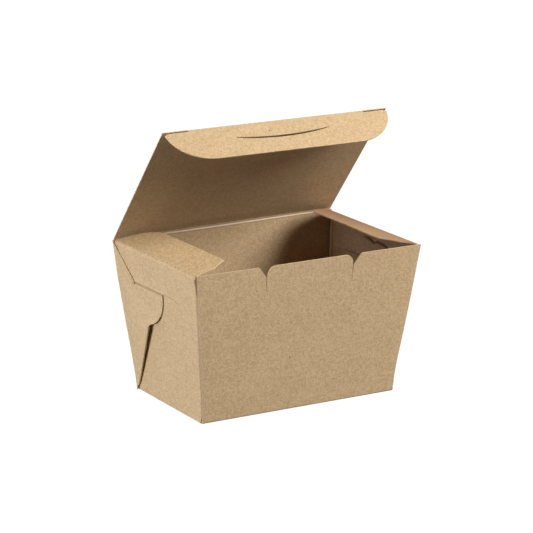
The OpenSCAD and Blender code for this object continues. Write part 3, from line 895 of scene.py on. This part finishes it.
# Tuck flap: folded square to the lid, cut free at both ends of its fold, with round corners and
# a curved slot that the front wall's tab goes into.
tuck_d, tuck_r, tuck_rise = 19.1, 23.5, 18.6
slot_half, slot_down, slot_sag, slot_open = 27.1, 7.5, 1.8, 1.25
tuck_top = 1.1
round_angles = np.radians([8, 15, 22, 28.5, 36, 44, 52, 60, 67, 73, 79, 84, 88, 90])
tuck_columns = np.concatenate([
    np.linspace(0, 24.4, 13), [25.4, 26.2, 26.8, slot_half, 30.0, 34.0, 37.5, tuck_half - tuck_r],
    tuck_half - tuck_r + tuck_r * np.sin(round_angles),
])
cut_column = int(np.argmin(abs(tuck_columns - (tuck_half - tuck_cut))))
tuck_columns[cut_column] = tuck_half - tuck_cut
depth = tuck_d - tuck_rise + tuck_rise * np.sqrt(np.clip(
    1 - (np.clip(tuck_columns - (tuck_half - tuck_r), 0, tuck_r) / tuck_r)**2, 0, None))
ear_top = tuck_top + 0.9 * np.clip((tuck_columns - 62.4) / 1.2, 0, 1)
depth = np.maximum(depth, ear_top + 0.25)
across = np.clip(1 - (tuck_columns / slot_half)**2, 0, 1)
blunt = across**0.45
slot_share = (slot_down - tuck_top) / (tuck_d - tuck_top)
upper_lip = ear_top + (depth - ear_top) * slot_share + slot_sag * across
lower_lip = upper_lip + slot_open * blunt
upper_share = np.array([0, 0.15, 0.4, 0.7, 0.93, 1])[:, None]
lower_share = np.array([0, 0.05, 0.2, 0.4, 0.6, 0.8, 0.95, 1])[:, None]
upper_depth = ear_top[None, :] + (upper_lip - ear_top)[None, :] * upper_share
lower_depth = lower_lip[None, :] + (depth - lower_lip)[None, :] * lower_share


def tuck_grid(down):
    """Points of the tuck flap at each depth below its fold, with its lips a little apart."""
    x = np.broadcast_to(tuck_columns[None, :], down.shape)
    near = np.exp(-np.abs(down - lower_lip[None, :]) / 2.0) * across[None, :]
    lips = np.where(down > (upper_lip + 1e-6)[None, :], 0.12, -0.12) * near
    place = lid_point(np.full(down.shape, lid_d) + lips, down)
    return np.concatenate([x[..., None], place], axis=-1)


tuck_fold_path = rounded([[
    lid_point(lid_d - crease - 1e-4), lid_point(lid_d), lid_point(lid_d, crease + 1e-4),
]], [crease], [1, 1], 8)[0]
tuck_fold_path = np.concatenate([
    tuck_fold_path, [lid_point(lid_d, 0.9), lid_point(lid_d, tuck_top)],
])
tuck_strip = along_x(tuck_columns[:cut_column + 1], tuck_fold_path)
# The tuck flap is painted a little darker all over, a faint painted shade.
half = [grid_patch(tuck_strip, tint=-0.05), grid_patch(tuck_grid(upper_depth), tint=-0.05),
        grid_patch(tuck_grid(lower_depth), tint=-0.05)]

tuck = board("tuck_flap_panel", half + [mirrored(p) for p in half], warped)
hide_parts("tuck_flap")
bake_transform(tuck)

# Dust flaps: folded in from the side walls' tops on a soft bend, a little crowned. Each has a
# straight shoulder in front and a slanting, rounded rear end, which curls up on the left flap.
# Their board is the same sheet with a stronger grain, painted warmer: painted light for the warm
# light on their tops. The right one has painted shade.
# The flaps' own material: the board painted warmer, as painted light, with a stronger grain.
flap_board_painted_light = kraft("Kraft board, dust flaps", (0.63, 0.45, 0.26), (0.42, 0.295, 0.16), grain=1.55)
dust_w, dust_tilt = 20.5, math.radians(11.5)
dust_rear_y = 42.9
rear_back, rear_r = 19.0, 14.0
dust_hinge = np.array([layer_x(side_fold_z, wall_r), side_fold_z])
wall_dir = np.array([math.sin(side_lean), math.cos(side_lean)])
flap_dir = np.array([-math.cos(dust_tilt), math.sin(dust_tilt)])
flap_up = np.array([math.sin(dust_tilt), math.cos(dust_tilt)])
dust_bend = (side_fold_z - flap_start) / cos_s
half_turn = math.acos(float(-wall_dir @ flap_dir)) / 2
dust_path = rounded([[
    dust_hinge - wall_dir * (dust_bend + 1e-5), dust_hinge,
    dust_hinge + flap_dir * (dust_bend + 1e-5),
]], [dust_bend * math.tan(half_turn)], [1, 1], 9)[0]
round_start = math.radians(56)
dust_out = np.concatenate([
    [2.2, 3, 4.2, 6, 8, 10, 11, 12, 13, 14.5, 16, 17.3],
    dust_w - rear_r + rear_r * np.sin(np.radians([56, 63, 70, 76, 82, 87, 90])),
])
dust_panel = dust_hinge + dust_out[:, None] * flap_dir
dust_path = np.concatenate([dust_path, dust_panel])
out = np.concatenate([np.zeros(len(dust_path) - len(dust_out)), dust_out])
front_end = np.interp(out, [0, 2.2, 4, 8, 12.2, 14.2, 16, dust_w],
                      [-42.6, -42.1, -41.5, -41.1, -41.2, -39.4, -38.2, -35.6])
rear_corner = dust_rear_y - rear_back
rear_arc = rear_corner + np.sqrt(np.clip(rear_r**2 - (out - (dust_w - rear_r))**2, 0, None))
arc_start = dust_w - rear_r + rear_r * math.cos(round_start)
rear_slant = np.interp(out, [0, arc_start],
                       [dust_rear_y, rear_corner + rear_r * math.sin(round_start)])
rear_end = np.where(out > arc_start, rear_arc, rear_slant)
dust_share = np.concatenate([[0, 0.02], np.linspace(0.06, 0.94, 20), [0.98, 1]])
dust_y = front_end[:, None] + (rear_end - front_end)[:, None] * dust_share[None, :]
notch = 0.9 * np.clip((out - 11) / 2.5, 0, 1)[:, None] * np.clip(-dust_y / 40, 0, 1)
dust_lift = 0.22 * np.sin(np.pi * out / dust_w)[:, None] * np.clip((dust_y + 43) / 10, 0, 1) \
    + 0.35 * (out[:, None] / dust_w)**2 * np.clip((dust_y + 30) / 45, 0, 1)
rear_lift = 0.6 * np.clip(out[:, None] / 9, 0, 1)**1.3 * np.clip((dust_y - 14) / 26, 0, 1)**2
for side, sign in (("right", 1), ("left", -1)):
    lift = dust_lift + rear_lift * (0.15 if sign > 0 else 1)
    ends = dust_y + notch * (1 if sign > 0 else 0.5)
    # Painted shade on the right flap, deepest a little in from its fold and towards its rear, and
    # none at the bend.
    flap_painted_shade = (-0.55 - 0.15 * np.clip((ends + 15) / 45, 0, 1)) \
        * np.interp(out, [0, 1.5, 3, 20], [0, 0.9, 1.2, 0.75])[:, None]
    patch = grid_patch(np.stack([
        dust_path[:, :1] + lift * flap_up[0], ends, dust_path[:, 1:] + lift * flap_up[1]], axis=-1),
        tint=flap_painted_shade if sign > 0 else 0.0)
    flap = board(f"dust_flap_{side}_panel", [patch if sign > 0 else mirrored(patch)], settled,
                 flap_board_painted_light)
    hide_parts(f"dust_flap_{side}")
    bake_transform(flap)

# Floor, sky and lamps: the camera sees a white table under a white sky, but both are nearly dark
# to the rays that light the box. Five soft lamps do that, and what its walls throw to each other.
white = bpy.data.materials.new("White table")
white.use_nodes = True
tree = white.node_tree
table = tree.nodes["Principled BSDF"]
table.inputs["Roughness"].default_value = 0.9
table.inputs["Specular IOR Level"].default_value = 0.1
path = node(tree, "ShaderNodeLightPath")
seen = path.outputs["Is Camera Ray"]
shade = blended(tree, seen, (0.11, 0.1, 0.09, 1), (0.85, 0.85, 0.85, 1))
tree.links.new(shade, table.inputs["Base Color"])
glow = node(tree, "ShaderNodeEmission", {"Color": (1, 1, 1, 1), "Strength": 1.05})
mixed = node(tree, "ShaderNodeMixShader", {0: maths(tree, "MULTIPLY", seen, 0.95)})
tree.links.new(table.outputs[0], mixed.inputs[1])
tree.links.new(glow.outputs[0], mixed.inputs[2])
tree.links.new(mixed.outputs[0], tree.nodes["Material Output"].inputs["Surface"])
bpy.ops.mesh.primitive_plane_add(size=12, location=(0, 0, -0.0001))
floor = bpy.context.object
floor.name = "floor"
floor.data.materials.append(white)

world = bpy.data.worlds.new("Studio")
bpy.context.scene.world = world
world.use_nodes = True
tree = world.node_tree
sky = tree.nodes["Background"]
path = node(tree, "ShaderNodeLightPath")
seen = maths(tree, "ADD", path.outputs["Is Camera Ray"], path.outputs["Is Glossy Ray"])
dim = blended(tree, seen, (0.03, 0.03, 0.03, 1), (1, 1, 1, 1))
tree.links.new(dim, sky.inputs["Color"])

lamp_reach, lamp_aim = 1.5, 0.06


def lamp(name, azimuth, elevation, size, power, colour):
    """A soft lamp that faces the box: azimuth from the front towards the right, in degrees."""
    turn, rise = math.radians(azimuth), math.radians(elevation)
    away = Vector((math.cos(rise) * math.sin(turn), -math.cos(rise) * math.cos(turn),
                      math.sin(rise)))
    light = bpy.data.lights.new(name, "AREA")
    light.shape = "RECTANGLE"
    light.size, light.size_y = size
    light.energy, light.color = power, colour
    made = bpy.data.objects.new(name, light)
    bpy.context.scene.collection.objects.link(made)
    made.location = Vector((0, 0, lamp_aim)) + away * lamp_reach
    made.rotation_euler = away.to_track_quat("Z", "Y").to_euler()


lamp("Key", 45, 36, (0.8, 0.8), 35.2, (1, 0.97, 0.905))
lamp("High left", -62, 52, (0.6, 0.6), 4.4, (1, 0.93, 0.66))
lamp("Left reflector", -88, 0, (0.9, 0.1), 18.4, (1, 1, 0.98))
lamp("Left, over the edge", -87, 13, (0.5, 0.15), 2.7, (0.74, 0.76, 1))
lamp("Rear card", 180, 4, (0.9, 0.2), 9.0, (1, 0.97, 0.93))

# Camera, where the photograph was taken from: its focal length in pixels of the 533-pixel picture,
# its distance and the height that it looks at in metres.
focal_px, picture_px, camera_reach, camera_aim = 2600, 533, 1.3241, 0.06575
lens = bpy.data.cameras.new("Camera")
lens.sensor_width, lens.lens = 36.0, 36.0 * focal_px / picture_px
lens.clip_start, lens.clip_end = 0.05, 30
camera = bpy.data.objects.new("Camera", lens)
bpy.context.scene.collection.objects.link(camera)
azimuth, elevation, roll = math.radians(-30.30), math.radians(14.78), math.radians(0.13)
back = Vector((math.cos(elevation) * math.sin(azimuth), -math.cos(elevation) * math.cos(azimuth),
                  math.sin(elevation)))
camera.location = Vector((0, 0, camera_aim)) + back * camera_reach
facing = (-back).to_track_quat("-Z", "Y")
camera.rotation_mode = "QUATERNION"
camera.rotation_quaternion = facing @ Matrix.Rotation(roll, 3, "Z").to_quaternion()
bpy.context.scene.camera = camera
bpy.context.scene.view_settings.view_transform = "Standard"
